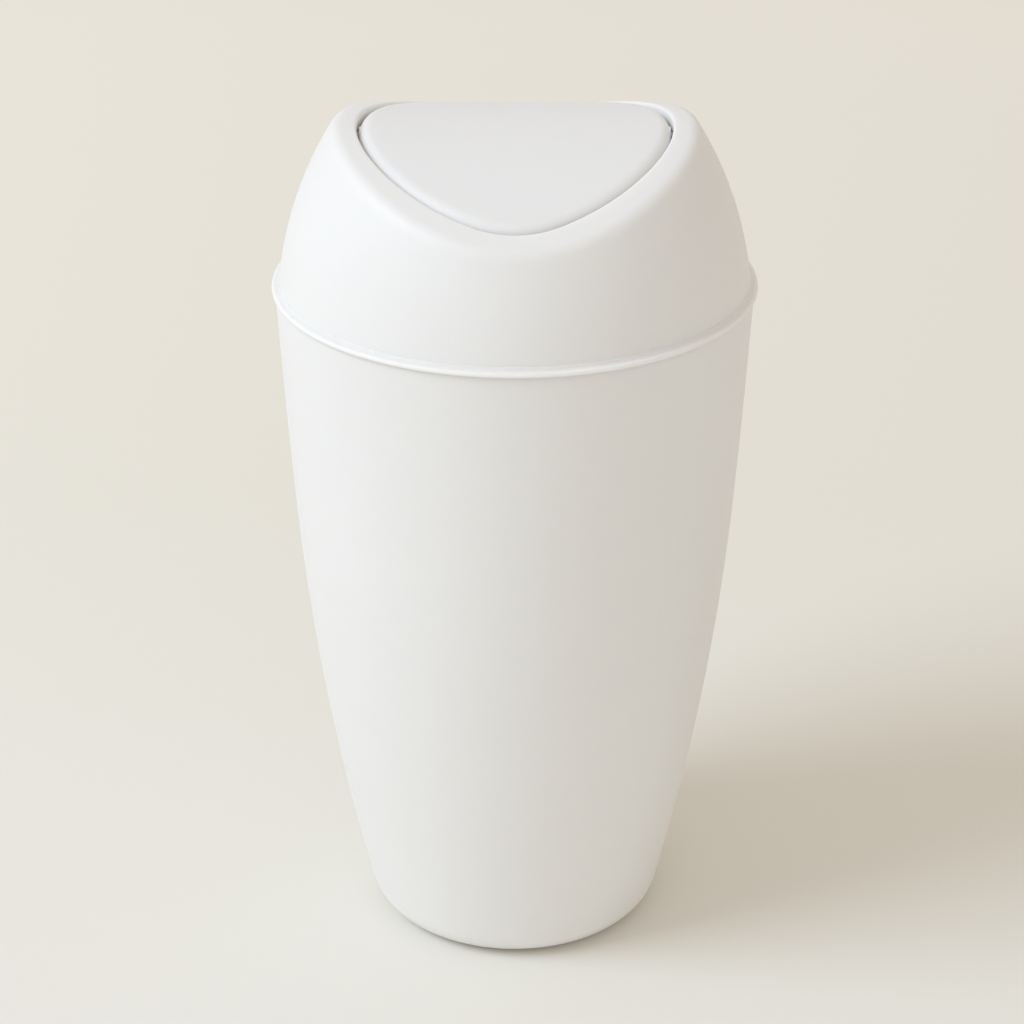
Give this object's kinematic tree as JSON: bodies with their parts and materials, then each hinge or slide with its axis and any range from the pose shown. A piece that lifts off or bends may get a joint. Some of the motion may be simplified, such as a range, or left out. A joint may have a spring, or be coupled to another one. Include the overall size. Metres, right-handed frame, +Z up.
{
  "type": "countertop swing-lid bin",
  "caption": "Small round countertop waste bin with a domed lid cover that lifts off and an oval flap that swings both ways on two pins.",
  "frame": {"origin": "centre of the foot ring, on the surface that the bin stands on", "axes": "+Z up along the bin's axis, the front faces -Y, and the flap's pivot axis is along X"},
  "size_m": [0.136, 0.136, 0.2459],
  "materials": {
    "bin_plastic": "satin white moulded polypropylene with a fine texture",
    "lid_plastic": "satin white moulded polypropylene with a fine texture",
    "flap_plastic": "satin white moulded polypropylene with a fine texture",
    "pin_plastic": "natural moulded acetal, smooth"
  },
  "bodies": {
    "bin": {"bin": "bin_plastic"},
    "lid": {"lid_cover": "lid_plastic"},
    "flap": {"flap": "flap_plastic", "pivot_pin_left": "pin_plastic", "pivot_pin_right": "pin_plastic"}
  },
  "joints": [
    {"name": "lid_lift", "type": "slide", "parent": "bin", "child": "lid", "axis": [0, 0, 1], "range_m": [0, 0.12]},
    {"name": "flap_swing", "type": "hinge", "parent": "lid", "child": "flap", "pos_m": [0, 0, 0.2414], "axis": [1, 0, 0], "range_deg": [-80, 80]}
  ]
}
